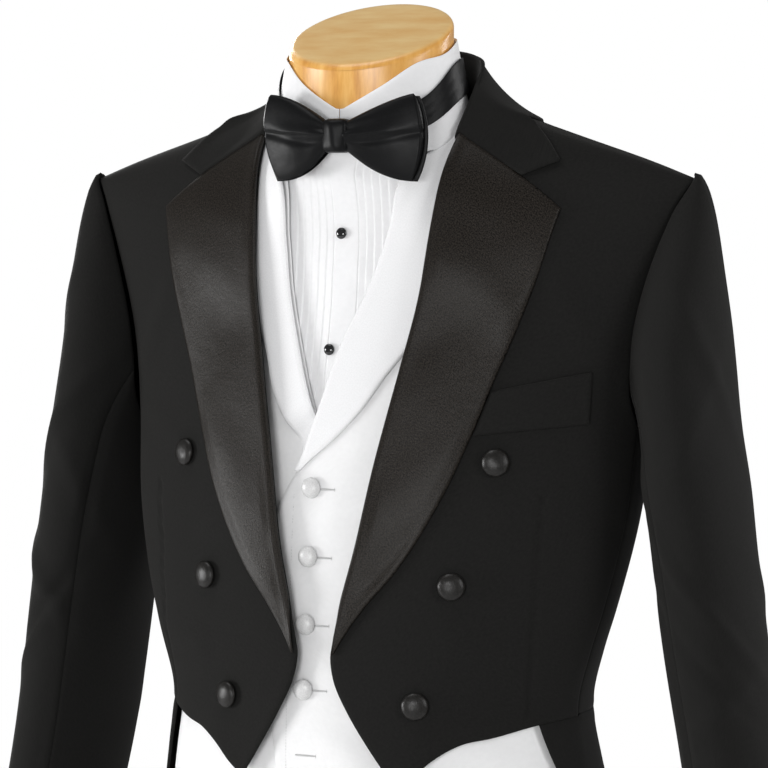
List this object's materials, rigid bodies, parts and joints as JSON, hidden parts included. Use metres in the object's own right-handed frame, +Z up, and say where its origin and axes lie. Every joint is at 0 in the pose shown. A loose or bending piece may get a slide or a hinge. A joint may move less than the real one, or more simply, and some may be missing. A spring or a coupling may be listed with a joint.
{
  "type": "tailcoat suit on a limbless dress form",
  "caption": "Tailcoat, waistcoat, trousers, shirt front and bow tie, worn by a limbless dress form on a pole and round base.",
  "frame": {"origin": "centre of the round base's underside, on the floor", "axes": "+Z up, front of the garment facing -Y, wearer's left at +X"},
  "size_m": [0.6624, 0.38, 1.583],
  "materials": {
    "form_jersey": "matt knitted cover of the form",
    "form_wood": "varnished pale honey wood",
    "form_metal": "black satin paint",
    "shirt_cotton": "white cotton",
    "stud_black": "polished black",
    "tie_satin": "black satin",
    "vest_pique": "white cotton",
    "vest_satin": "white satin",
    "coat_wool": "black worsted wool",
    "lapel_satin": "black silk satin",
    "trouser_wool": "black worsted wool",
    "trouser_braid": "black silk braid"
  },
  "bodies": {
    "root": {"form_torso": "form_jersey", "form_neck": "form_wood", "form_pole": "form_metal", "form_base": "form_metal", "shirt_front": "shirt_cotton", "shirt_collar": "shirt_cotton", "shirt_stud_1": "stud_black", "shirt_stud_2": "stud_black", "bow_wing_left": "tie_satin", "bow_wing_right": "tie_satin", "bow_knot": "tie_satin", "bow_band": "tie_satin", "vest_front_left": "vest_pique", "vest_front_right": "vest_pique", "vest_back": "vest_pique", "vest_lapel_left": "vest_satin", "vest_lapel_right": "vest_satin", "vest_button_1": "vest_satin", "vest_button_2": "vest_satin", "vest_button_3": "vest_satin", "vest_button_4": "vest_satin", "coat_front_left": "coat_wool", "coat_front_right": "coat_wool", "coat_side_left": "coat_wool", "coat_side_right": "coat_wool", "coat_back_left": "coat_wool", "coat_back_right": "coat_wool", "coat_skirt_left": "coat_wool", "coat_skirt_right": "coat_wool", "coat_lapel_left": "lapel_satin", "coat_lapel_right": "lapel_satin", "coat_collar": "coat_wool", "sleeve_top_left": "coat_wool", "sleeve_top_right": "coat_wool", "sleeve_under_left": "coat_wool", "sleeve_under_right": "coat_wool", "breast_welt": "coat_wool", "coat_button_left_1": "lapel_satin", "coat_button_left_2": "lapel_satin", "coat_button_left_3": "lapel_satin", "coat_button_right_1": "lapel_satin", "coat_button_right_2": "lapel_satin", "coat_button_right_3": "lapel_satin", "waist_button_left": "lapel_satin", "waist_button_right": "lapel_satin", "trouser_front_left": "trouser_wool", "trouser_front_right": "trouser_wool", "trouser_back_left": "trouser_wool", "trouser_back_right": "trouser_wool", "trouser_braid_left": "trouser_braid", "trouser_braid_right": "trouser_braid", "trouser_waistband": "trouser_wool"}
  },
  "joints": []
}
